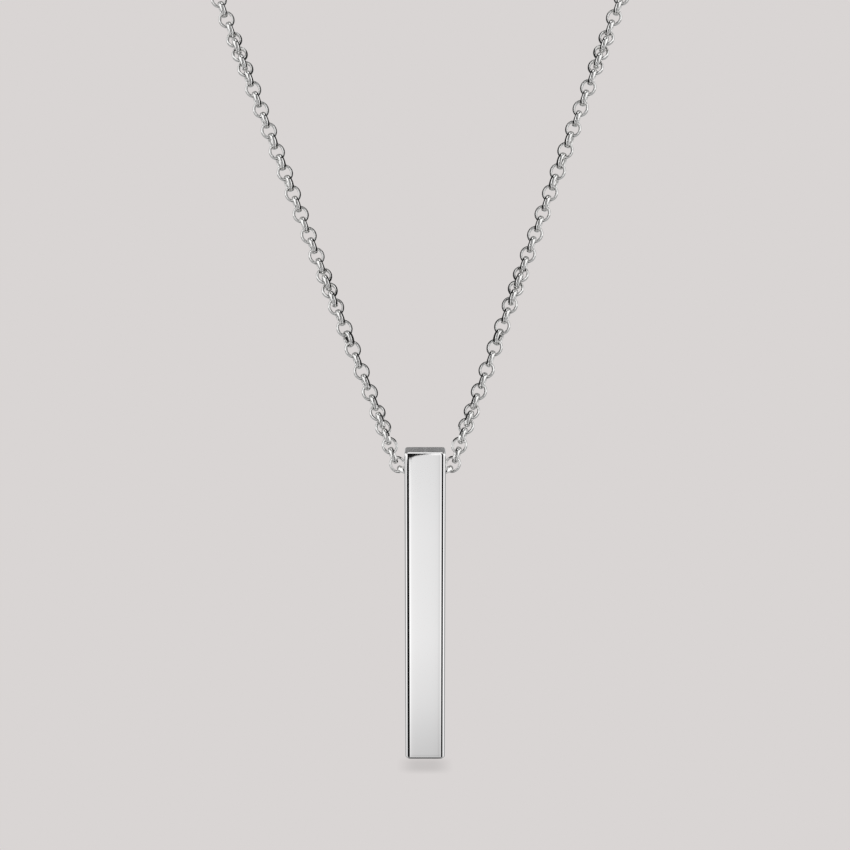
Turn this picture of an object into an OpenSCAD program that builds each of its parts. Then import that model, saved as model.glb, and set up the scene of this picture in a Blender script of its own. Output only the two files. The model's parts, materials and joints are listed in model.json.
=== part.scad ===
// Necklace: a square bar pendant threaded on a fine chain of round links.
// Millimetres, +Z up, +X to the right and -Y to the front, where the bar hangs.
// The origin is the middle of the neck, level with the chain at the sides of the neck.
// The chain is drawn as a plain tube of its own thickness, in two halves that meet inside the bar.

/* [Bar] */
// Length of the bar
bar_length = 30; // [20:1:50]
// Width of the square bar at its top
bar_w = 4; // [3.6:0.1:6]
// Width of the square bar at its foot
foot_w = 3.92; // [3.2:0.02:6]
// Radius of the polished edges
edge_r = 0.35; // [0.2:0.05:0.8]
// Height of the dome on the two ends, over the bar's half width
end_dome = 0.1; // [0.05:0.05:0.3]

/* [Cross hole] */
// Diameter of the hole that the chain runs through
hole_d = 2.2; // [2:0.1:2.4]
// Distance from the top of the bar down to the axis of the hole
hole_drop = 2.5; // [2:0.1:5]
// Width of the bevel at the two mouths of the hole
mouth_bevel = 0.4; // [0.1:0.05:0.5]

/* [Chain] */
// Thickness of the chain
chain_d = 1.4; // [0.8:0.1:1.4]

/* [Clasp] */
// Radius of the middle line of the clasp's ring
ring_r = 2.4; // [2:0.1:3]
// Thickness of the ring's tube
ring_d = 1.1; // [0.8:0.1:1.2]
// Thickness of the bolt that closes the gap in the ring's tube
bolt_d = 0.7; // [0.5:0.1:0.7]
// Angle of the gap that the bolt closes
bolt_angle = 70; // [40:5:90]
// Radius of the middle line of the two eyes
eye_r = 0.75; // [0.6:0.05:0.75]
// Thickness of the eyes' wire
eye_d = 0.6; // [0.4:0.05:0.6]

/* [Hidden] */
$fn = 48;
spill = 1; // length by which a cutter runs past what it cuts

// Axis of the cross hole, and the middle of the clasp at the nape
hole_at = [0, -60, -130];
clasp_at = [0, 56, 12];

// Bar: the round ends of its dome and the middles of its corner spheres
half_w = bar_w / 2;
dome_r = (half_w * half_w + end_dome * end_dome) / (2 * end_dome);
flat_r = half_w - edge_r;
bar_top = hole_at.z + hole_drop;
bar_foot = bar_top - bar_length;
foot_share = hole_drop / bar_length;
half_w_at_hole = (bar_w + (foot_w - bar_w) * foot_share) / 2;
corner_drop = dome_fall(flat_r * sqrt(2));
dome_steps = 4;
corner_fn = 32;

// Chain: sides of the tube, and the span past which a second ring is set in its middle
tube_sides = 8;
long_span = 4;

// Middle line of the left half, from the middle of the bar's hole out of its mouth,
// up the straight slope over the chest, over the shoulder and round the nape to the clasp
left_route = [
    [0, -60, -129.8],
    [-1.3, -60, -129.8],
    [-2.2, -60, -129.4],
    [-2.8, -59.9, -128.6],
    [-3.3, -59.6, -127.3],
    [-4.6, -59, -124],
    [-8.6, -57.1, -114],
    [-14.1, -54.4, -100],
    [-19.8, -51.6, -85.5],
    [-25.8, -48.6, -70.5],
    [-32.1, -45, -55.5],
    [-38.7, -40.4, -41.5],
    [-45.2, -33.6, -28],
    [-50.8, -23.6, -15.8],
    [-54.8, -10.6, -6],
    [-56, 4, 0],
    [-53.6, 20, 4.5],
    [-46.8, 35, 8],
    [-35.6, 47, 10.3],
    [-21, 54, 11.6],
    [-4.8, 56, 12]
];

// Middle line of the right half, which slopes a little more steeply over the chest
right_route = [
    [0, -60, -129.8],
    [1.3, -60, -129.8],
    [2.2, -60, -129.4],
    [2.8, -59.9, -128.6],
    [3.2, -59.6, -127.3],
    [4.4, -59, -124],
    [8, -57.1, -114],
    [13.1, -54.4, -100],
    [18.5, -51.6, -85.5],
    [24.4, -48.6, -70.5],
    [31, -45, -55.5],
    [38, -40.4, -41.5],
    [44.8, -33.6, -28],
    [50.7, -23.6, -15.8],
    [54.8, -10.6, -6],
    [56, 4, 0],
    [53.6, 20, 4.5],
    [46.8, 35, 8],
    [35.6, 47, 10.3],
    [21, 54, 11.6],
    [4.8, 56, 12]
];

// How far the domed end has fallen at a distance from the bar's middle
function dome_fall(reach) = reach * reach / (2 * dome_r);

function unit(v) = v / norm(v);

// Direction of a line of points at point i, where the shorter neighbouring span counts more
function heading(line, i) =
    i == 0 ? unit(line[1] - line[0])
    : i == len(line) - 1 ? unit(line[i] - line[i - 1])
    : let (before = line[i] - line[i - 1], after = line[i + 1] - line[i])
        unit(unit(before) * norm(after) + unit(after) * norm(before));

// Point at a share u of the smooth span that leaves a along from_a and reaches b along into_b
function on_span(a, b, from_a, into_b, u) =
    let (reach = norm(b - a), rest = 1 - u)
    a * (1 + 2 * u) * rest * rest
    + from_a * reach * u * rest * rest
    + b * (1 + 2 * rest) * u * u
    - into_b * reach * rest * u * u;

// The route with a point added in the middle of each long span
function smooth(route) = [
    for (i = [0 : len(route) - 2])
        let (
            a = route[i],
            b = route[i + 1],
            parts = norm(b - a) > long_span ? 2 : 1
        )
        for (k = [0 : parts - 1])
            on_span(a, b, heading(route, i), heading(route, i + 1), k / parts),
    route[len(route) - 1]
];

// One ring of the tube round a point, square to its direction, and starting away from the neck
function ring_at(point, along) =
    let (
        outward = unit([point.x, point.y, 0]),
        side = unit(outward - along * (outward * along)),
        across = cross(along, side)
    )
    [
        for (k = [0 : tube_sides - 1])
            let (turn = 360 * k / tube_sides)
            point + (side * cos(turn) + across * sin(turn)) * chain_d / 2
    ];

// Tube along a route, with flat ends
module tube(route) {
    line = smooth(route);
    rings = len(line);
    last = (rings - 1) * tube_sides;
    polyhedron(
        points = [for (i = [0 : rings - 1]) each ring_at(line[i], heading(line, i))],
        faces = [
            [for (k = [0 : tube_sides - 1]) k],
            [for (k = [tube_sides - 1 : -1 : 0]) last + k],
            for (i = [0 : rings - 2], k = [0 : tube_sides - 1])
                let (
                    here = i * tube_sides,
                    next = here + tube_sides,
                    turned = (k + 1) % tube_sides
                )
                each [
                    [here + turned, here + k, next + k],
                    [here + turned, next + k, next + turned]
                ]
        ]
    );
}

// Shallow round cap of a domed end, with its crown at the origin and facing up
module end_cap() {
    rotate_extrude($fn = corner_fn)
        polygon([
            [0, -dome_fall(flat_r)],
            for (i = [dome_steps : -1 : 0])
                let (reach = flat_r * i / dome_steps)
                [reach, -dome_fall(reach)]
        ]);
}

// Four balls that round the corners of one end of the bar
module corner_balls(width) {
    reach = width / 2 - edge_r;
    for (x = [-reach, reach], y = [-reach, reach])
        translate([x, y, -corner_drop - edge_r])
            sphere(r = edge_r, $fn = corner_fn);
}

// Solid bar with domed ends, rounded edges and a slight taper to its foot
module bar_blank() {
    hull() {
        translate([0, hole_at.y, bar_top]) {
            end_cap();
            corner_balls(bar_w);
        }
        translate([0, hole_at.y, bar_foot])
            mirror([0, 0, 1]) {
                end_cap();
                corner_balls(foot_w);
            }
    }
}

// Cutter for the cross hole, along X, with a bevel at each mouth
module cross_hole() {
    rotate([0, 90, 0]) {
        cylinder(h = bar_w + 2 * spill, d = hole_d, center = true);
        for (end = [0, 1])
            mirror([0, 0, end])
                translate([0, 0, half_w_at_hole - mouth_bevel])
                    cylinder(
                        h = mouth_bevel + spill,
                        r1 = hole_d / 2,
                        r2 = hole_d / 2 + mouth_bevel + spill
                    );
    }
}

// Part of a round ring of wire, in the XY plane, from one angle through a sweep
module wire_ring(middle_r, wire_d, from = 0, sweep = 360) {
    rotate([0, 0, from])
        rotate_extrude(angle = sweep)
            translate([middle_r, 0])
                circle(d = wire_d);
}

module bar() {
    color("silver")
        difference() {
            bar_blank();
            translate(hole_at)
                cross_hole();
        }
}

module chain_left() {
    color("silver")
        tube(left_route);
}

module chain_right() {
    color("silver")
        tube(right_route);
}

// Spring ring in one piece with the two eyes that the chain's ends hang in
module clasp() {
    color("silver")
        translate(clasp_at)
            rotate([90, 0, 0]) {
                wire_ring(ring_r, ring_d, 90 + bolt_angle / 2, 360 - bolt_angle);
                wire_ring(ring_r, bolt_d);
                for (side = [-1, 1])
                    translate([side * (ring_r + ring_d / 2 + eye_r - eye_d / 4), 0, 0])
                        wire_ring(eye_r, eye_d);
            }
}

bar();
chain_left();
chain_right();
clasp();
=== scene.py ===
import json
import math
import random

import bmesh
import bpy
from mathutils import Matrix, Vector


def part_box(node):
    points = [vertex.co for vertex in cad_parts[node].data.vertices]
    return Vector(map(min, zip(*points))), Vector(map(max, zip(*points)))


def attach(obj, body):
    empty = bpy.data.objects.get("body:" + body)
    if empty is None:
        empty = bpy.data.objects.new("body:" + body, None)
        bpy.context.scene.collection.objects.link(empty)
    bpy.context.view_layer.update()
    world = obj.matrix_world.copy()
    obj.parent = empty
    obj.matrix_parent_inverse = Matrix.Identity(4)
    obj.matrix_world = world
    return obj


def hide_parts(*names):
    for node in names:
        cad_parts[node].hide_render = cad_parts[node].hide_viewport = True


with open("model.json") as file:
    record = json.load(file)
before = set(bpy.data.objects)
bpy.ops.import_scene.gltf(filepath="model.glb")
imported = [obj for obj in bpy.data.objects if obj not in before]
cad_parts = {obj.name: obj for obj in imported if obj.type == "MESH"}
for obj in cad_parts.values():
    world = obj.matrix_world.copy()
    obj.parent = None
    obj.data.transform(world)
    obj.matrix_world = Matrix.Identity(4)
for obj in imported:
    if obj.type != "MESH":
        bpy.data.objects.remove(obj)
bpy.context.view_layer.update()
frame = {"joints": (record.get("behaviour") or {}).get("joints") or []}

# Camera.
# The photograph looks at the front of the bar from a little above its top, about five
# bar lengths away. The lens is given as the focal length in the photo's own pixels.
mm = 0.001
photo_pixels = 850
focal_pixels = 1710
sensor_width = 36
view_distance = 160 * mm
view_height = 22.44 * mm
view_pitch = math.radians(7.067)
view_side = -0.01 * mm

bar_low, bar_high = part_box("bar")
camera_data = bpy.data.cameras.new("camera")
camera_data.sensor_width = sensor_width
camera_data.lens = focal_pixels / photo_pixels * sensor_width
camera_data.clip_start = 1 * mm
camera = bpy.data.objects.new("camera", camera_data)
camera.location = (view_side, bar_low.y - view_distance, bar_high.z + view_height)
camera.rotation_euler = (math.pi / 2 - view_pitch, 0, 0)
bpy.context.scene.collection.objects.link(camera)
bpy.context.scene.camera = camera
bpy.context.scene.view_settings.view_transform = "Standard"


# Floor.
# A pale matt sheet a millimetre below the foot of the bar that glows evenly, with a soft contact
# shadow painted on it where things come close. Far out it fades into a background of the same colour.
pale = (0.694, 0.665, 0.658)
floor_gap = 1.2 * mm
floor_reach = 0.9
fade_from = 0.2
fade_to = 0.8
# The painted contact shadow on the floor: how far it reaches and how deep it goes
shadow_reach = 1.6 * mm
shadow_depth = 0.43


def new_material(name):
    """A node material with only its output, and the two things needed to fill it."""
    material = bpy.data.materials.new(name)
    material.use_nodes = True
    tree = material.node_tree
    tree.nodes.clear()
    output = tree.nodes.new("ShaderNodeOutputMaterial")
    return material, tree, output


def smooth_range(tree, value, low, high):
    """A socket that goes smoothly from 0 at low to 1 at high of the given socket."""
    node = tree.nodes.new("ShaderNodeMapRange")
    node.interpolation_type = "SMOOTHSTEP"
    node.inputs["From Min"].default_value = low
    node.inputs["From Max"].default_value = high
    tree.links.new(value, node.inputs["Value"])
    return node.outputs["Result"]


def math_node(tree, operation, *values):
    """The result of a math node whose inputs are sockets or numbers."""
    node = tree.nodes.new("ShaderNodeMath")
    node.operation = operation
    for socket, value in zip(node.inputs, values):
        if isinstance(value, (int, float)):
            socket.default_value = value
        else:
            tree.links.new(value, socket)
    return node.outputs["Value"]


def floor_material():
    """A sheet of even glow with a painted shadow close under the bar, clear far out."""
    material, tree, output = new_material("pale_floor")
    # Painted shadow: the glow is dimmed where other surfaces crowd close above a point
    contact = tree.nodes.new("ShaderNodeAmbientOcclusion")
    contact.samples = 16
    contact.inputs["Distance"].default_value = shadow_reach
    open_share = contact.outputs["AO"]
    painted_shade_strength = math_node(tree, "MULTIPLY_ADD", open_share, shadow_depth, 1 - shadow_depth)
    sheet = tree.nodes.new("ShaderNodeEmission")
    sheet.inputs["Color"].default_value = (*pale, 1)
    tree.links.new(painted_shade_strength, sheet.inputs["Strength"])
    clear = tree.nodes.new("ShaderNodeBsdfTransparent")
    place = tree.nodes.new("ShaderNodeTexCoord")
    reach = tree.nodes.new("ShaderNodeVectorMath")
    reach.operation = "LENGTH"
    tree.links.new(place.outputs["Object"], reach.inputs[0])
    fade = tree.nodes.new("ShaderNodeMixShader")
    tree.links.new(
        smooth_range(tree, reach.outputs["Value"], fade_from, fade_to),
        fade.inputs["Fac"],
    )
    tree.links.new(sheet.outputs["Emission"], fade.inputs[1])
    tree.links.new(clear.outputs["BSDF"], fade.inputs[2])
    tree.links.new(fade.outputs["Shader"], output.inputs["Surface"])
    return material


floor_mesh = bpy.data.meshes.new("floor")
corners = [
    (-floor_reach, -floor_reach, 0),
    (floor_reach, -floor_reach, 0),
    (floor_reach, floor_reach, 0),
    (-floor_reach, floor_reach, 0),
]
floor_mesh.from_pydata(corners, [], [(0, 1, 2, 3)])
floor = bpy.data.objects.new("floor", floor_mesh)
floor.location = (0, 0, bar_low.z - floor_gap)
floor.data.materials.append(floor_material())
floor.visible_glossy = False
bpy.context.scene.collection.objects.link(floor)


# Light.
# An even white tent is all that rays other than mirrored and seen ones meet; the floor is not lit
# by it but glows evenly of itself. The silver mirrors a studio of its own: a lamp
# overhead inside a black flag, white panels at the sides and round the dark camera end,
# a pale floor with dark flags in front, a grey flag and a pale panel behind, and a narrow
# window of tuned strips that the bar faces.
# Places are in degrees: azimuth from straight behind the camera, minus to the left.

# The window of strips: brightness against azimuth, and its share against elevation
strip_levels = [
    (-42, 0.8),
    (-37, 0.7),
    (-29, 0.05),
    (-22, 0.01),
    (-20, 0.004),
    (-8.2, 0.004),
    (-6.9, 0.4),
    (-6.2, 1.15),
    (-4.8, 1.15),
    (-3.4, 0.95),
    (0, 0.805),
    (3.4, 0.66),
    (5, 0.89),
    (9.4, 0.915),
    (11, 0.12),
    (12, 0.003),
    (28, 0.004),
    (32, 0.2),
    (34, 1.25),
    (36, 1.25),
    (42, 0.9),
]
strip_shares = [
    (-50, 0.9),
    (-24, 0.75),
    (-19, 0.69),
    (-17.8, 0.82),
    (-16.5, 0.97),
    (-14.5, 1.08),
    (-11, 1.05),
    (-8, 0.97),
    (-3, 1.05),
    (10, 1.35),
    (70, 1.35),
]
# The upper edge of the window: elevation against azimuth
strip_tops = [
    (-42, -8.4),
    (-19, -8.4),
    (-1.6, -8.3),
    (-0.8, -7.9),
    (-0.25, -6),
    (0, 3),
    (0.25, 60),
    (7, 70),
    (9, 3),
    (42, 3),
]
strip_bottom = -24
window_softness = 1
window_top_softness = 0.5
# Level of the studio from straight below to the lamp overhead, against elevation
studio_rise = [
    (-90, 0.1),
    (-66, 0.15),
    (-58, 0.4),
    (-25, 0.4),
    (-22, 0.36),
    (-7, 0.36),
    (-4, 0.4),
    (-2, 0.4),
    (3, 0.25),
    (45, 0.25),
    (60, 0.05),
    (72, 0.05),
    (75, 1.1),
    (90, 1.1),
]
# Flags and panels in front of that: left, right, low and high edge, softness and level
studio_panels = [
    # The black flag high in front, and a white panel at each side
    (-120, 120, 45, 74, 5, 0.03),
    (-130, -50, -6, 45, 6, 1.05),
    (50, 130, -6, 45, 6, 1.05),
    # A tall white panel on either side of the camera end
    (-76, -18, -24, 60, 4, 1.05),
    (18, 76, -24, 60, 4, 1.05),
    # The pale floor in front, and three dark flags on it
    (-50, 50, -62, -24, 4, 0.75),
    (-14, 16, -70, -38, 5, 0.02),
    (-27, -9, -40, -24, 3, 0.02),
    (12, 29, -40, -24, 3, 0.02),
    # The grey flag and the pale panel behind
    (120, 240, 3, 25, 5, 0.26),
    (162, 198, -28, -3, 6, 0.8),
    # The dark camera end
    (-20, 20, -24, 74, 3, 0.012),
    (-27, 27, 4, 74, 3, 0.012),
]


def ramp(tree, value, stops):
    """A number that follows (place, number) stops along a socket."""
    low, high = stops[0][0], stops[-1][0]
    least = min(level for at, level in stops)
    most = max(level for at, level in stops)
    place = tree.nodes.new("ShaderNodeMapRange")
    place.inputs["From Min"].default_value = low
    place.inputs["From Max"].default_value = high
    tree.links.new(value, place.inputs["Value"])
    node = tree.nodes.new("ShaderNodeValToRGB")
    elements = node.color_ramp.elements
    while len(elements) < len(stops):
        elements.new(0.5)
    for element, (at, level) in zip(elements, stops):
        share = (level - least) / (most - least)
        element.position = (at - low) / (high - low)
        element.color = (share, share, share, 1)
    tree.links.new(place.outputs["Result"], node.inputs["Fac"])
    return math_node(tree, "MULTIPLY_ADD", node.outputs["Color"], most - least, least)


def within(tree, value, low, high, soft):
    """1 between low and high of a socket, falling smoothly to 0 over the softness."""
    enter = smooth_range(tree, value, low - soft / 2, low + soft / 2)
    leave = smooth_range(tree, value, high - soft / 2, high + soft / 2)
    return math_node(tree, "SUBTRACT", enter, leave)


def layer(tree, under, over, mask):
    """One number over another where the mask is 1."""
    node = tree.nodes.new("ShaderNodeMix")
    for socket, value in zip(("Factor", "A", "B"), (mask, under, over)):
        if isinstance(value, (int, float)):
            node.inputs[socket].default_value = value
        else:
            tree.links.new(value, node.inputs[socket])
    return node.outputs["Result"]


world = bpy.data.worlds.new("tent")
world.use_nodes = True
world.cycles.sampling_method = "NONE"
bpy.context.scene.world = world
tent = world.node_tree
tent.nodes.clear()
direction = tent.nodes.new("ShaderNodeTexCoord")
parts = tent.nodes.new("ShaderNodeSeparateXYZ")
tent.links.new(direction.outputs["Generated"], parts.inputs["Vector"])
forward = math_node(tent, "MULTIPLY", parts.outputs["Y"], -1)
azimuth = math_node(tent, "DEGREES", math_node(tent, "ARCTAN2", parts.outputs["X"], forward))
elevation = math_node(tent, "DEGREES", math_node(tent, "ARCSINE", parts.outputs["Z"]))
around = math_node(tent, "MODULO", math_node(tent, "ADD", azimuth, 360), 360)
mirrored = ramp(tent, elevation, studio_rise)
for left, right, low, high, soft, level in studio_panels:
    turned = around if right > 180 else azimuth
    mask = math_node(
        tent,
        "MULTIPLY",
        within(tent, turned, left, right, soft),
        within(tent, elevation, low, high, soft),
    )
    mirrored = layer(tent, mirrored, level, mask)
strips = math_node(
    tent,
    "MULTIPLY",
    ramp(tent, azimuth, strip_levels),
    ramp(tent, elevation, strip_shares),
)
under_top = math_node(tent, "SUBTRACT", ramp(tent, azimuth, strip_tops), elevation)
window = math_node(
    tent,
    "MULTIPLY",
    within(tent, azimuth, strip_levels[0][0], strip_levels[-1][0], window_softness),
    math_node(
        tent,
        "MULTIPLY",
        smooth_range(tent, under_top, -window_top_softness / 2, window_top_softness / 2),
        smooth_range(
            tent,
            elevation,
            strip_bottom - window_softness,
            strip_bottom + window_softness,
        ),
    ),
)
mirrored = layer(tent, mirrored, strips, window)

rays = tent.nodes.new("ShaderNodeLightPath")
even_light = tent.nodes.new("ShaderNodeBackground")
even_light.inputs["Color"].default_value = (1, 1, 1, 1)
pale_light = tent.nodes.new("ShaderNodeBackground")
pale_light.inputs["Color"].default_value = (*pale, 1)
mirror_light = tent.nodes.new("ShaderNodeBackground")
tent.links.new(mirrored, mirror_light.inputs["Color"])
seen = tent.nodes.new("ShaderNodeMixShader")
lit = tent.nodes.new("ShaderNodeMixShader")
tent.links.new(rays.outputs["Is Glossy Ray"], lit.inputs["Fac"])
tent.links.new(even_light.outputs["Background"], lit.inputs[1])
tent.links.new(mirror_light.outputs["Background"], lit.inputs[2])
tent.links.new(rays.outputs["Is Camera Ray"], seen.inputs["Fac"])
tent.links.new(lit.outputs["Shader"], seen.inputs[1])
tent.links.new(pale_light.outputs["Background"], seen.inputs[2])
tent_output = tent.nodes.new("ShaderNodeOutputWorld")
tent.links.new(seen.outputs["Shader"], tent_output.inputs["Surface"])

# A black card stands between the two halves of the chain, out of sight but mirrored
card_front = -65 * mm
card_back = -25 * mm
card_low = -125 * mm
card_high = -5 * mm
card_level = 0.02
card_mesh = bpy.data.meshes.new("black_card")
card_mesh.from_pydata(
    [
        (0, card_front, card_low),
        (0, card_back, card_low),
        (0, card_back, card_high),
        (0, card_front, card_high),
    ],
    [],
    [(0, 1, 2, 3)],
)
card_material, card_tree, card_output = new_material("black_card")
card_face = card_tree.nodes.new("ShaderNodeEmission")
card_face.inputs["Color"].default_value = (card_level, card_level, card_level, 1)
card_tree.links.new(card_face.outputs["Emission"], card_output.inputs["Surface"])
card = bpy.data.objects.new("black_card", card_mesh)
card.data.materials.append(card_material)
card.visible_camera = False
card.visible_diffuse = False
card.visible_shadow = False
bpy.context.scene.collection.objects.link(card)


# Bar.
# A square bar of solid silver, drilled through its sides near the top and polished until
# its faces swell a little between softly rounded edges. Its two ends are slightly domed
# and keep the fine streaks of the last sanding.
bar_silver = (0.93, 0.924, 0.925, 1)
bar_axis = Vector((0, (bar_low.y + bar_high.y) / 2, 0))
hole_axis = Vector(frame["joints"][0]["pos_m"])
top_half_width = 1.985 * mm
foot_half_width = 1.925 * mm
section_power = 12
rim_power = 250
top_bevel = 0.075 * mm
foot_bevel = 0.18 * mm
end_dome = 0.03 * mm
hole_radius = 1.1 * mm
mouth_radius = 0.4 * mm
hole_sides = 64
# Points of the section's outline: a few on each flat, then even steps to the edge
flat_shares = (0, 0.15, 0.3, 0.45)
edge_start = math.radians(3)
edge_steps = 14
# Rows of points up the sides, and the closer rows on both sides of the hole's middle
row_gap = 2 * mm
close_reach = 2 * mm
close_rows = 16
sharp_angle = math.radians(50)


def quarter_turns():
    """Angles over a quarter of the section: a few on the flats, then even steps round the edge."""
    edge = [
        edge_start + (math.pi / 4 - edge_start) * i / edge_steps
        for i in range(edge_steps + 1)
    ]
    octant = [math.asin(share ** (section_power / 2)) for share in flat_shares] + edge
    return octant + [math.pi / 2 - turn for turn in reversed(octant[:-1])]


def section_points():
    """The unit outline of the bar's square section, with swollen sides and round corners."""
    quarter = quarter_turns()[:-1]
    reach = 2 / section_power
    outline = []
    for corner in range(4):
        for turn in quarter:
            x, y = math.cos(turn) ** reach, math.sin(turn) ** reach
            for _ in range(corner):
                x, y = -y, x
            outline.append((x, y))
    return outline


def end_rows(half_height, edge):
    """Rows of (share of the full section, height) for one end, from the side to its middle."""
    rise = (1, 3, 6, 10, 15, 20, 26, 32, 38, 44, 50, 56, 62, 68, 74, 79, 83)
    rows = [
        (
            math.cos(math.radians(angle)) ** (2 / section_power),
            half_height * math.sin(math.radians(angle)) ** (2 / rim_power),
        )
        for angle in rise
    ]
    rows = [(share, height) for share, height in rows if height < half_height - edge]
    inset = 1 - (1 - math.exp(-rim_power * edge / half_height)) ** (1 / section_power)
    bevel = edge / top_half_width
    bevel_steps = (0, 0.07, 0.93, 1)
    rows += [
        (1 - inset - bevel * step, half_height - edge * (1 - step))
        for step in bevel_steps
    ]
    cap_shares = (0.9, 0.6, 0.45, 0.3, 0.15, 0.02)
    rows += [(share, half_height) for share in cap_shares]
    return [(share, height + end_dome * (1 - share * share)) for share, height in rows]


def bar_levels(half_height):
    """Rows of (share of the full section, height) from the foot's middle to the top's."""
    upper = end_rows(half_height, top_bevel)
    middle = (bar_high.z + bar_low.z) / 2
    low = hole_axis.z - middle - close_reach
    high = hole_axis.z - middle + close_reach
    plain = [i * row_gap for i in range(-6, 7) if not low <= i * row_gap <= high]
    close = [low + (high - low) * i / close_rows for i in range(close_rows + 1)]
    side = [(1, z) for z in sorted(plain + close) if z < upper[0][1] - 0.2 * mm]
    lower = [(share, -height) for share, height in reversed(end_rows(half_height, foot_bevel))]
    return lower + side + upper


def bar_blank_mesh():
    """The bar before it is drilled."""
    outline = section_points()
    half_height = (bar_high.z - bar_low.z) / 2 - end_dome
    middle = (bar_high.z + bar_low.z) / 2
    vertices, faces = [], []
    count = len(outline)
    levels = bar_levels(half_height)
    for share, height in levels:
        along = (height / half_height + 1) / 2
        half_width = foot_half_width + (top_half_width - foot_half_width) * along
        for x, y in outline:
            vertices.append((
                x * share * half_width,
                bar_axis.y + y * share * half_width,
                middle + height,
            ))
    for level in range(len(levels) - 1):
        for i in range(count):
            here, beside = level * count + i, level * count + (i + 1) % count
            faces.append((here, beside, beside + count, here + count))
    faces.append(tuple(reversed(range(count))))
    faces.append(tuple(range(len(vertices) - count, len(vertices))))
    mesh = bpy.data.meshes.new("bar_polished")
    mesh.from_pydata(vertices, [], faces)
    return mesh


def drill_mesh():
    """The cutter for the cross hole, turned about X, which also rounds the two mouths."""
    mouth = [math.radians(angle) for angle in (0, 15, 30, 45, 60, 75)]
    mouth_slope = math.tan(math.radians(15))
    straight = top_half_width - mouth_radius
    profile = [
        (
            straight + mouth_radius * math.sin(turn),
            hole_radius + mouth_radius * (1 - math.cos(turn)),
        )
        for turn in mouth
    ]
    out = 0.3 * mm
    last_x, last_r = profile[-1]
    profile.append((last_x + out, last_r + out / mouth_slope))
    rows = [(-x, r) for x, r in reversed(profile)] + profile
    vertices, faces = [], []
    for x, r in rows:
        for i in range(hole_sides):
            turn = 2 * math.pi * i / hole_sides
            vertices.append((
                hole_axis.x + x,
                hole_axis.y + r * math.cos(turn),
                hole_axis.z + r * math.sin(turn),
            ))
    for row in range(len(rows) - 1):
        for i in range(hole_sides):
            here, beside = row * hole_sides + i, row * hole_sides + (i + 1) % hole_sides
            faces.append((here, beside, beside + hole_sides, here + hole_sides))
    faces.append(tuple(reversed(range(hole_sides))))
    faces.append(tuple(range(len(vertices) - hole_sides, len(vertices))))
    mesh = bpy.data.meshes.new("drill")
    mesh.from_pydata(vertices, [], faces)
    return mesh


def new_piece(name, mesh):
    """An object in the scene for a mesh, with outward faces and smooth shading."""
    shell = bmesh.new()
    shell.from_mesh(mesh)
    bmesh.ops.recalc_face_normals(shell, faces=shell.faces)
    shell.to_mesh(mesh)
    shell.free()
    mesh.shade_smooth()
    piece = bpy.data.objects.new(name, mesh)
    bpy.context.scene.collection.objects.link(piece)
    return piece


def apply_modifiers(piece):
    """Turns the piece's modifiers into its mesh."""
    bpy.context.view_layer.update()
    shaped = piece.evaluated_get(bpy.context.evaluated_depsgraph_get())
    mesh = bpy.data.meshes.new_from_object(shaped)
    piece.modifiers.clear()
    piece.data = mesh


def sharpen_mouths(mesh):
    """Marks the line where each rounded mouth meets the flat side, so that the side stays flat."""
    sharp = mesh.attributes.get("sharp_edge")
    if sharp is None:
        sharp = mesh.attributes.new("sharp_edge", "BOOLEAN", "EDGE")
    on_side = top_half_width - 0.011 * mm
    rim_inside = hole_radius + mouth_radius - 0.12 * mm
    rim_outside = hole_radius + mouth_radius - 0.04 * mm
    on_rim = []
    for vertex in mesh.vertices:
        away = math.hypot(vertex.co.y - hole_axis.y, vertex.co.z - hole_axis.z)
        on_rim.append(abs(vertex.co.x) > on_side and rim_inside < away < rim_outside)
    for edge in mesh.edges:
        if on_rim[edge.vertices[0]] and on_rim[edge.vertices[1]]:
            sharp.data[edge.index].value = True


bar = new_piece("bar_polished", bar_blank_mesh())
drill = new_piece("drill", drill_mesh())
cut = bar.modifiers.new("cross_hole", "BOOLEAN")
cut.operation = "DIFFERENCE"
cut.solver = "EXACT"
cut.object = drill
apply_modifiers(bar)
bpy.data.objects.remove(drill)
bar.data.set_sharp_from_angle(angle=sharp_angle)
sharpen_mouths(bar.data)
even = bar.modifiers.new("even_shading", "WEIGHTED_NORMAL")
even.keep_sharp = True
apply_modifiers(bar)


# Polish shared by the three silver finishes: hair-fine scratches in three directions,
# where a drawn-out noise is high, and faint smudges
scratch_turns = (0.35, 1.3, 2.4)
scratch_from = 0.62
scratch_to = 0.72
scratch_share = 0.6
smudge_scale = 180
smudge_from = 0.35
smudge_to = 0.75


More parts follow.
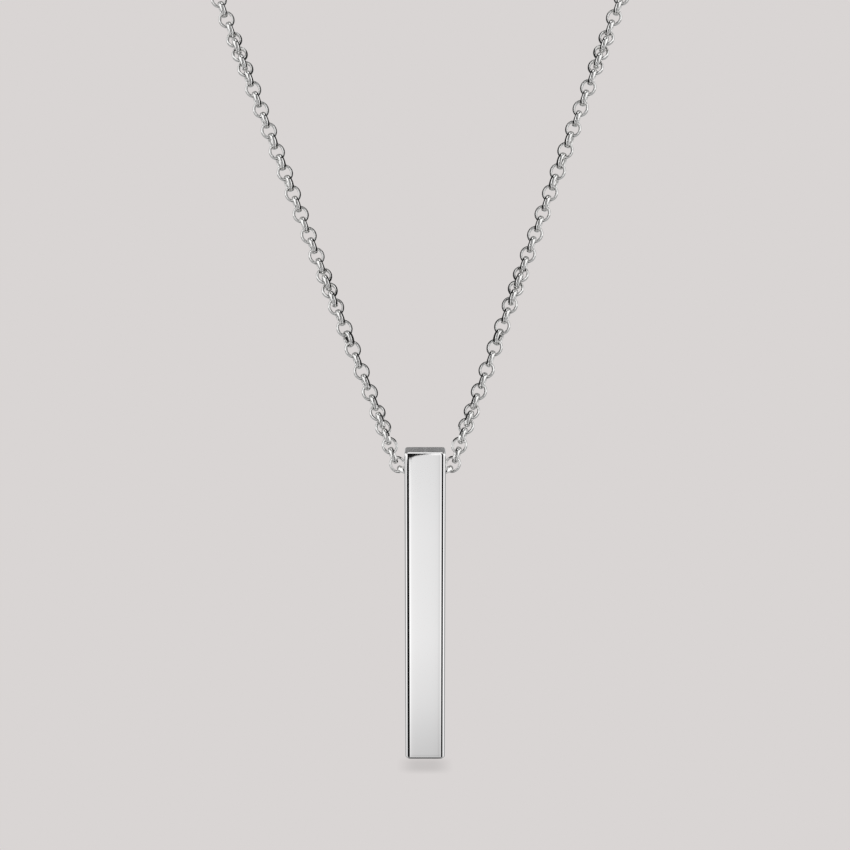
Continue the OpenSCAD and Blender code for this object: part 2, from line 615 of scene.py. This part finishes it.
def scratch_group():
    """A group that puts out the height and the roughness of scratches and smudges."""
    group = bpy.data.node_groups.new("fine_scratches", "ShaderNodeTree")
    for name, usual in (("Scale", 1000.0), ("Stretch", 12.0), ("Haze", 0.05)):
        socket = group.interface.new_socket(name=name, in_out="INPUT", socket_type="NodeSocketFloat")
        socket.default_value = usual
    for name in ("Height", "Roughness"):
        group.interface.new_socket(name=name, in_out="OUTPUT", socket_type="NodeSocketFloat")
    entry = group.nodes.new("NodeGroupInput")
    leave = group.nodes.new("NodeGroupOutput")
    place = group.nodes.new("ShaderNodeTexCoord")
    heights = []
    for angle in scratch_turns:
        turned = group.nodes.new("ShaderNodeMapping")
        turned.inputs["Rotation"].default_value = (angle, angle * 0.7, angle)
        group.links.new(place.outputs["Object"], turned.inputs["Vector"])
        squeezed = group.nodes.new("ShaderNodeCombineXYZ")
        group.links.new(entry.outputs["Stretch"], squeezed.inputs["X"])
        squeezed.inputs["Y"].default_value = 1
        squeezed.inputs["Z"].default_value = 1
        drawn = group.nodes.new("ShaderNodeVectorMath")
        drawn.operation = "MULTIPLY"
        group.links.new(turned.outputs["Vector"], drawn.inputs[0])
        group.links.new(squeezed.outputs["Vector"], drawn.inputs[1])
        grain = group.nodes.new("ShaderNodeTexNoise")
        grain.inputs["Detail"].default_value = 3
        group.links.new(drawn.outputs["Vector"], grain.inputs["Vector"])
        group.links.new(entry.outputs["Scale"], grain.inputs["Scale"])
        heights.append(smooth_range(group, grain.outputs["Fac"], scratch_from, scratch_to))
    first_two = math_node(group, "MAXIMUM", heights[0], heights[1])
    height = math_node(group, "MAXIMUM", first_two, heights[2])
    smudge = group.nodes.new("ShaderNodeTexNoise")
    smudge.inputs["Scale"].default_value = smudge_scale
    smudge.inputs["Detail"].default_value = 2
    group.links.new(place.outputs["Object"], smudge.inputs["Vector"])
    cloud = smooth_range(group, smudge.outputs["Fac"], smudge_from, smudge_to)
    scratched = math_node(group, "MULTIPLY", height, scratch_share)
    worn = math_node(group, "ADD", cloud, scratched)
    haze = math_node(group, "MULTIPLY", worn, entry.outputs["Haze"])
    group.links.new(height, leave.inputs["Height"])
    group.links.new(haze, leave.inputs["Roughness"])
    return group


fine_scratches = scratch_group()


def silver_shader(tree, output, colour, roughness, haze, bump_height, scale, stretch):
    """Silver with the shared scratches. Returns the nodes that the bar's finish adds to."""
    metal = tree.nodes.new("ShaderNodeBsdfPrincipled")
    metal.inputs["Base Color"].default_value = colour
    metal.inputs["Metallic"].default_value = 1
    scratches = tree.nodes.new("ShaderNodeGroup")
    scratches.node_tree = fine_scratches
    scratches.inputs["Scale"].default_value = scale
    scratches.inputs["Stretch"].default_value = stretch
    scratches.inputs["Haze"].default_value = haze
    rough = math_node(tree, "ADD", scratches.outputs["Roughness"], roughness)
    bump = tree.nodes.new("ShaderNodeBump")
    bump.invert = True
    bump.inputs["Strength"].default_value = 1
    bump.inputs["Distance"].default_value = bump_height
    tree.links.new(scratches.outputs["Height"], bump.inputs["Height"])
    tree.links.new(rough, metal.inputs["Roughness"])
    tree.links.new(bump.outputs["Normal"], metal.inputs["Normal"])
    tree.links.new(metal.outputs["BSDF"], output.inputs["Surface"])
    return metal, rough, bump


# The ends, told by how far up or down they face, and their streaks, drawn out along X
end_from = 0.9
end_to = 0.99
end_roughness = 0.26
streak_scale = (60, 9000, 9000)
streak_height = 0.004 * mm


def bar_material():
    """A clear polish on the sides, and fine streaks on the two ends."""
    material, tree, output = new_material("bar_silver")
    metal, rough, bump = silver_shader(
        tree,
        output,
        bar_silver,
        roughness=0.03,
        haze=0.02,
        bump_height=0.00002 * mm,
        scale=900,
        stretch=14,
    )
    place = tree.nodes.new("ShaderNodeTexCoord")
    facing = tree.nodes.new("ShaderNodeSeparateXYZ")
    tree.links.new(place.outputs["Normal"], facing.inputs["Vector"])
    upright = math_node(tree, "ABSOLUTE", facing.outputs["Z"])
    on_end = smooth_range(tree, upright, end_from, end_to)
    squeeze = tree.nodes.new("ShaderNodeMapping")
    squeeze.inputs["Scale"].default_value = streak_scale
    tree.links.new(place.outputs["Object"], squeeze.inputs["Vector"])
    streak = tree.nodes.new("ShaderNodeTexNoise")
    streak.inputs["Scale"].default_value = 1
    streak.inputs["Detail"].default_value = 2
    tree.links.new(squeeze.outputs["Vector"], streak.inputs["Vector"])
    sanded = math_node(tree, "MULTIPLY", streak.outputs["Fac"], on_end)
    end_bump = tree.nodes.new("ShaderNodeBump")
    end_bump.inputs["Strength"].default_value = 1
    end_bump.inputs["Distance"].default_value = streak_height
    tree.links.new(sanded, end_bump.inputs["Height"])
    tree.links.new(bump.outputs["Normal"], end_bump.inputs["Normal"])
    tree.links.new(end_bump.outputs["Normal"], metal.inputs["Normal"])
    satin = math_node(tree, "ADD", rough, math_node(tree, "MULTIPLY", on_end, end_roughness))
    tree.links.new(satin, metal.inputs["Roughness"])
    return material


bar.data.materials.clear()
bar.data.materials.append(bar_material())
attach(bar, "pendant")
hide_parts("bar")


# Chain.
# A fine belcher chain: links of half-round silver wire, flat side inwards, each closed
# round the last one and soldered. It is threaded through the bar's hole, rises in a V
# to the shoulders and runs round the nape. Every other link is turned a quarter turn.
chain_silver = (0.92, 0.915, 0.905, 1)
wire_width = 0.52 * mm
wire_height = 0.255 * mm
wire_corner = 0.1 * mm
link_half_length = 0.86 * mm
link_half_width = 0.78 * mm
pitch = 1.085 * mm
link_lean = math.radians(14)
facing_pull = 0.3
route_steps = 24

# The middle line of each half, in millimetres, from the middle of the hole to the clasp
left_route = [
    (0, -60, -129.8),
    (-1.3, -60, -129.8),
    (-2.24, -60, -129.4),
    (-2.86, -59.9, -128.6),
    (-3.34, -59.6, -127.3),
    (-4.6, -59, -124),
    (-8.6, -57.1, -114),
    (-14.05, -54.4, -100),
    (-19.69, -51.6, -85.5),
    (-25.61, -48.6, -70.5),
    (-32.1, -45, -55.5),
    (-38.7, -40.4, -41.5),
    (-45.2, -33.6, -28),
    (-50.8, -23.6, -15.8),
    (-54.8, -10.6, -6),
    (-56, 4, 0),
    (-53.6, 20, 4.5),
    (-46.8, 35, 8),
    (-35.6, 47, 10.3),
    (-21, 54, 11.6),
    (-4.8, 56, 12),
]
right_route = [
    (0, -60, -129.8),
    (1.3, -60, -129.8),
    (2.23, -60, -129.4),
    (2.84, -59.9, -128.6),
    (3.23, -59.6, -127.3),
    (4.46, -59, -124),
    (8.12, -57.1, -114),
    (13.25, -54.4, -100),
    (18.66, -51.6, -85.5),
    (24.52, -48.6, -70.5),
    (31, -45, -55.5),
    (38, -40.4, -41.5),
    (44.8, -33.6, -28),
    (50.7, -23.6, -15.8),
    (54.8, -10.6, -6),
    (56, 4, 0),
    (53.6, 20, 4.5),
    (46.8, 35, 8),
    (35.6, 47, 10.3),
    (21, 54, 11.6),
    (4.8, 56, 12),
]


def smooth_line(points):
    """Close points along the smooth curve through a route, and the distance to each."""
    spans = [b - a for a, b in zip(points, points[1:])]
    headings = [spans[0].normalized()]
    for before, after in zip(spans, spans[1:]):
        heading = before.normalized() * after.length + after.normalized() * before.length
        headings.append(heading.normalized())
    headings.append(spans[-1].normalized())
    line = []
    for i, span in enumerate(spans):
        a, b, reach = points[i], points[i + 1], span.length
        for step in range(route_steps):
            u = step / route_steps
            rest = 1 - u
            line.append(
                a * (1 + 2 * u) * rest * rest
                + headings[i] * reach * u * rest * rest
                + b * (1 + 2 * rest) * u * u
                - headings[i + 1] * reach * rest * u * u
            )
    line.append(points[-1])
    distances = [0]
    for a, b in zip(line, line[1:]):
        distances.append(distances[-1] + (b - a).length)
    return line, distances


def point_along(line, distances, reach):
    """The point at a distance along a line, past its end too."""
    low, high = 0, len(distances) - 2
    while low < high:
        middle = (low + high + 1) // 2
        if distances[middle] <= reach:
            low = middle
        else:
            high = middle - 1
    share = (reach - distances[low]) / (distances[low + 1] - distances[low])
    if share <= 1:
        return line[low].lerp(line[low + 1], share)
    return line[low] + (line[low + 1] - line[low]) * share


def wire_section(dome_steps):
    """The wire's section as (out from the link's inner wall, sideways) points."""
    half = wire_width / 2
    cut_off = wire_corner * (1 - math.sqrt(0.5))
    dome_height = wire_height - wire_corner
    section = [(0, half - wire_corner), (cut_off, half - cut_off)]
    for i in range(dome_steps + 1):
        turn = math.pi * i / dome_steps
        section.append((wire_corner + dome_height * math.sin(turn), half * math.cos(turn)))
    section.append((section[1][0], -section[1][1]))
    section.append((0, -section[0][1]))
    return section


def link_shell(link_steps, dome_steps):
    """Vertices and faces of one link: long along X, flat in XY."""
    section = wire_section(dome_steps)
    sides = len(section)
    vertices, faces = [], []
    for i in range(link_steps):
        turn = 2 * math.pi * (i + 0.5) / link_steps
        inner_length = link_half_length - wire_height
        inner_width = link_half_width - wire_height
        inner = Vector((inner_length * math.cos(turn), inner_width * math.sin(turn), 0))
        out = Vector((inner_width * math.cos(turn), inner_length * math.sin(turn), 0)).normalized()
        vertices += [inner + out * rise + Vector((0, 0, sideways)) for rise, sideways in section]
    for i in range(link_steps):
        for k in range(sides):
            here, turned = i * sides, (i + 1) % link_steps * sides
            after = (k + 1) % sides
            faces.append((here + k, here + after, turned + after, turned + k))
    return vertices, faces


# How far along each half the first links that face forward lie, in millimetres
left_rings = [0.97, 2.92, 4.89, 6.72, 8.26, 10.34, 12.51, 14.82, 17.01, 19.24, 20.95, 22.46, 24.54]
left_rings += [26.7, 28.88, 31.04, 33.23, 35.45, 37.65, 39.87, 42.03, 44.17, 45.72, 47.27, 49.41]
right_rings = [0.97, 2.94, 4.88, 6.84, 8.36, 10.39, 12.59, 14.88, 17.07, 19.25, 20.98, 22.45, 24.48]
right_rings += [26.56, 28.72, 30.87, 33.1, 35.3, 37.55, 39.7, 41.88, 44.04, 45.58, 47.12, 49.28, 51.44]
# Links that lie loose there: number, then the shift along the chain and the shift forward
# in millimetres, the tilt back and the turn round the chain in degrees
both_loose = {
    6: (0, 0.1, 0, 0),
    7: (0, 0, -19, 0),
    9: (0, 0, -19, 0),
    10: (0, -0.16, 0, 0),
    20: (-0.05, 0.1, 0, 0),
    21: (0, 0, -21, 0),
    22: (0.05, 0, 0, 0),
    23: (0, 0, -20, 0),
    24: (0, -0.15, 0, 0),
    32: (0, 0, 0, 11),
    43: (0, 0, -16, 0),
    44: (-0.08, 0, 0, 0),
    45: (0, 0, -20, 0),
    46: (0.08, 0, 0, 0),
    47: (0, 0, -16, 0),
    48: (0, -0.12, 0, 0),
}
left_loose = {
    **both_loose,
    16: (0, 0, 0, 17),
    34: (0, 0, 0, 11),
    36: (0, 0, 0, 11),
    42: (0, 0.14, 0, 8),
}
right_loose = {
    **both_loose,
    16: (0, 0, 0, 13),
    34: (0, 0, 0, 14),
    36: (0, 0, 0, 10),
    42: (0, 0.1, 0, 0),
}
eye_reach = 0.3 * mm
# The links that the photograph shows are finer: steps round the link and round its dome
near_links = 64
near_steps = (44, 11)
far_steps = (24, 6)
# Each link turns a little by chance, less over the first few and the last ones
turn_spread = 5
turn_seed = 7
first_settled = 4
last_settled = 20


def link_places(rings, last_reach):
    """Distances of the links along a half: the first ones as listed, the rest evenly to the clasp."""
    places = [0]
    for ring in rings:
        places += [(places[-1] + ring * mm) / 2, ring * mm]
    places = [0, rings[0] * mm] + places[3:]
    left_over = last_reach - places[-1]
    count = round(left_over / pitch)
    if (len(places) - 1 + count) % 2:
        count += 1
    places += [places[-1] + left_over * (i + 1) / count for i in range(count)]
    return places


def chain_mesh(name, route, rings, loose, side, with_middle):
    """All links of one half as one mesh. side is -1 on the left and 1 on the right."""
    points = [Vector(point) * mm for point in route]
    line, distances = smooth_line(points)
    places = link_places(rings, distances[-1] + eye_reach)
    centres = [point_along(line, distances, reach) for reach in places]
    near_shell = link_shell(*near_steps)
    far_shell = link_shell(*far_steps)
    chance = random.Random(turn_seed + side)
    vertices, faces = [], []
    for i, centre in enumerate(centres):
        wander = chance.uniform(-turn_spread, turn_spread)
        if i == 0 and not with_middle:
            continue
        if i == 0:
            along = Vector((side, 0, 0))
        elif i == len(centres) - 1:
            along = (centres[i] - centres[i - 1]).normalized()
        else:
            along = (centres[i + 1] - centres[i - 1]).normalized()
        facing = Vector((centre.x * facing_pull, centre.y, 0)).normalized()
        normal = (facing - along * facing.dot(along)).normalized()
        shift, forward, tilt, extra_turn = loose.get(i, (0, 0, 0, wander))
        centre = centre + (along * shift + normal * forward) * mm
        across = along.cross(normal)
        tilting = math.radians(tilt)
        along, normal = (
            along * math.cos(tilting) + normal * math.sin(tilting),
            normal * math.cos(tilting) - along * math.sin(tilting),
        )
        fade = min(1, (len(centres) - 1 - i) / last_settled, i / first_settled)
        quarter = math.pi / 2 if i % 2 == 0 else 0
        turn = quarter - side * (link_lean + math.radians(extra_turn)) * fade
        normal = normal * math.cos(turn) + across * math.sin(turn)
        basis = Matrix((along, normal.cross(along), normal)).transposed()
        shell, shell_faces = near_shell if i < near_links else far_shell
        first = len(vertices)
        vertices += [centre + basis @ vertex for vertex in shell]
        faces += [tuple(first + v for v in face) for face in shell_faces]
    mesh = bpy.data.meshes.new(name)
    mesh.from_pydata(vertices, [], faces)
    return mesh


def chain_material():
    """The wire's polish, with more haze than the bar's."""
    material, tree, output = new_material("chain_silver")
    silver_shader(
        tree,
        output,
        chain_silver,
        roughness=0.05,
        haze=0.05,
        bump_height=0.0004 * mm,
        scale=2500,
        stretch=8,
    )
    return material


wire_finish = chain_material()
halves = (
    ("chain_left", left_route, left_rings, left_loose, -1),
    ("chain_right", right_route, right_rings, right_loose, 1),
)
for name, route, rings, loose, side in halves:
    links = chain_mesh(name + "_links", route, rings, loose, side, with_middle=side == -1)
    chain = new_piece(name + "_links", links)
    chain.data.materials.append(wire_finish)
    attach(chain, "chain")
    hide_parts(name)


# Clasp.
# A spring ring at the nape: a hollow ring with a gap, a thin bolt that slides across the
# gap when its thumb knob is drawn back along a slot, and a soldered eye at each side
# that the chain's end link hangs in. The photograph hides it, so all of it is a guess.
clasp_silver = (0.92, 0.915, 0.905, 1)
body_radius = 2.4 * mm
body_thickness = 1.1 * mm
lip_radius = 0.36 * mm
gap_from = 55
gap_to = 125
bolt_thickness = 0.66 * mm
bolt_tuck = 8
bolt_step = 4
arc_step = 5
slot_from = 14
slot_to = 48
slot_radius = 0.15 * mm
slot_lip = 0.01 * mm
knob_at = 44
knob_height = 0.55 * mm
knob_radius = 0.26 * mm
stem_radius = 0.13 * mm
stem_foot = -0.25 * mm
stem_top = 0.06 * mm
eye_radius = 0.75 * mm
eye_thickness = 0.52 * mm
eye_reach_out = 3.55 * mm

clasp_low, clasp_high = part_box("clasp")
clasp_surface = body_radius + body_thickness / 2
clasp_middle = Vector((
    (clasp_low.x + clasp_high.x) / 2,
    (clasp_low.y + clasp_high.y) / 2,
    clasp_low.z + body_radius + body_thickness / 2,
))


def tube_shell(points, radii, sides, closed=False):
    """Vertices and faces of a round tube along points that lie in an upright XZ plane."""
    vertices, faces = [], []
    level = Vector((0, 1, 0))
    count = len(points)
    for i, (point, radius) in enumerate(zip(points, radii)):
        before = points[i - 1] if i or closed else points[0]
        after = points[(i + 1) % count] if i < count - 1 or closed else points[-1]
        out = (after - before).normalized().cross(level)
        for k in range(sides):
            turn = 2 * math.pi * k / sides
            vertices.append(point + (out * math.cos(turn) + level * math.sin(turn)) * radius)
    for i in range(count if closed else count - 1):
        here, beside = i * sides, (i + 1) % count * sides
        for k in range(sides):
            after = (k + 1) % sides
            faces.append((here + k, here + after, beside + after, beside + k))
    if not closed:
        faces.append(tuple(reversed(range(sides))))
        faces.append(tuple(range(len(vertices) - sides, len(vertices))))
    return vertices, faces


def on_ring(middle, radius, angle):
    """The point at an angle on a circle round a middle in the XZ plane."""
    turn = math.radians(angle)
    return middle + Vector((math.cos(turn), 0, math.sin(turn))) * radius


def arc_shell(radius, thickness, start, end, lip, sides):
    """A tube along part of the clasp's circle, with rounded ends that narrow to a lip."""
    full = thickness / 2
    rounding = full - lip
    ends = [math.radians(angle) for angle in (0, 22, 45, 67, 90)]
    near = [
        (
            math.degrees(rounding * (1 - math.cos(turn)) / radius),
            lip + rounding * math.sin(turn),
        )
        for turn in ends
    ]
    steps = round((end - start) / arc_step)
    inner = [start + (end - start) * i / steps for i in range(1, steps)]
    stations = [(start + along, width) for along, width in near]
    reach = near[-1][0]
    stations += [(angle, full) for angle in inner if start + reach < angle < end - reach]
    stations += [(end - along, width) for along, width in reversed(near)]
    points = [on_ring(clasp_middle, radius, angle) for angle, width in stations]
    return tube_shell(points, [width for angle, width in stations], sides)


def shell_mesh(name, shells):
    """One mesh from several shells of vertices and faces."""
    vertices, faces = [], []
    for shell, shell_faces in shells:
        first = len(vertices)
        vertices += shell
        faces += [tuple(first + v for v in face) for face in shell_faces]
    mesh = bpy.data.meshes.new(name)
    mesh.from_pydata(vertices, [], faces)
    return mesh


def clasp_fittings():
    """The bolt, the knob and the two eyes."""
    bolt_angles = range(gap_from - bolt_tuck, gap_to + bolt_tuck, bolt_step)
    bolt_points = [on_ring(clasp_middle, body_radius, angle) for angle in bolt_angles]
    shells = [tube_shell(bolt_points, [bolt_thickness / 2] * len(bolt_points), sides=24)]
    knob = [(stem_foot, stem_radius), (stem_top, stem_radius)]
    for angle in range(-60, 85, 12):
        turn = math.radians(angle)
        rise = knob_height - knob_radius + knob_radius * math.sin(turn)
        knob.append((rise, knob_radius * math.cos(turn)))
    knob_points = [on_ring(clasp_middle, clasp_surface + rise, knob_at) for rise, radius in knob]
    shells.append(tube_shell(knob_points, [radius for rise, radius in knob], sides=24))
    for side in (-1, 1):
        middle = clasp_middle + Vector((side * eye_reach_out, 0, 0))
        eye_points = [on_ring(middle, eye_radius, angle) for angle in range(0, 360, 10)]
        eye_radii = [eye_thickness / 2] * len(eye_points)
        shells.append(tube_shell(eye_points, eye_radii, sides=18, closed=True))
    return shells


def clasp_material():
    """The clasp's polish, a little more worn than the chain's."""
    material, tree, output = new_material("clasp_silver")
    silver_shader(
        tree,
        output,
        clasp_silver,
        roughness=0.06,
        haze=0.05,
        bump_height=0.0006 * mm,
        scale=1800,
        stretch=8,
    )
    return material


body_shell = arc_shell(body_radius, body_thickness, gap_to, gap_from + 360, lip_radius, sides=36)
slot_shell = arc_shell(clasp_surface, 2 * slot_radius, slot_from, slot_to, slot_lip, sides=16)
clasp = new_piece("clasp_spring_ring", shell_mesh("clasp_body", [body_shell]))
slot = new_piece("slot", shell_mesh("slot", [slot_shell]))
cut = clasp.modifiers.new("slot", "BOOLEAN")
cut.operation = "DIFFERENCE"
cut.solver = "EXACT"
cut.object = slot
apply_modifiers(clasp)
bpy.data.objects.remove(slot)
fittings = new_piece("fittings", shell_mesh("fittings", clasp_fittings()))
joined = bmesh.new()
joined.from_mesh(clasp.data)
joined.from_mesh(fittings.data)
joined.to_mesh(clasp.data)
joined.free()
bpy.data.objects.remove(fittings)
clasp.data.shade_smooth()
clasp.data.set_sharp_from_angle(angle=sharp_angle)
clasp.data.materials.clear()
clasp.data.materials.append(clasp_material())
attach(clasp, "chain")
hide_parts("clasp")
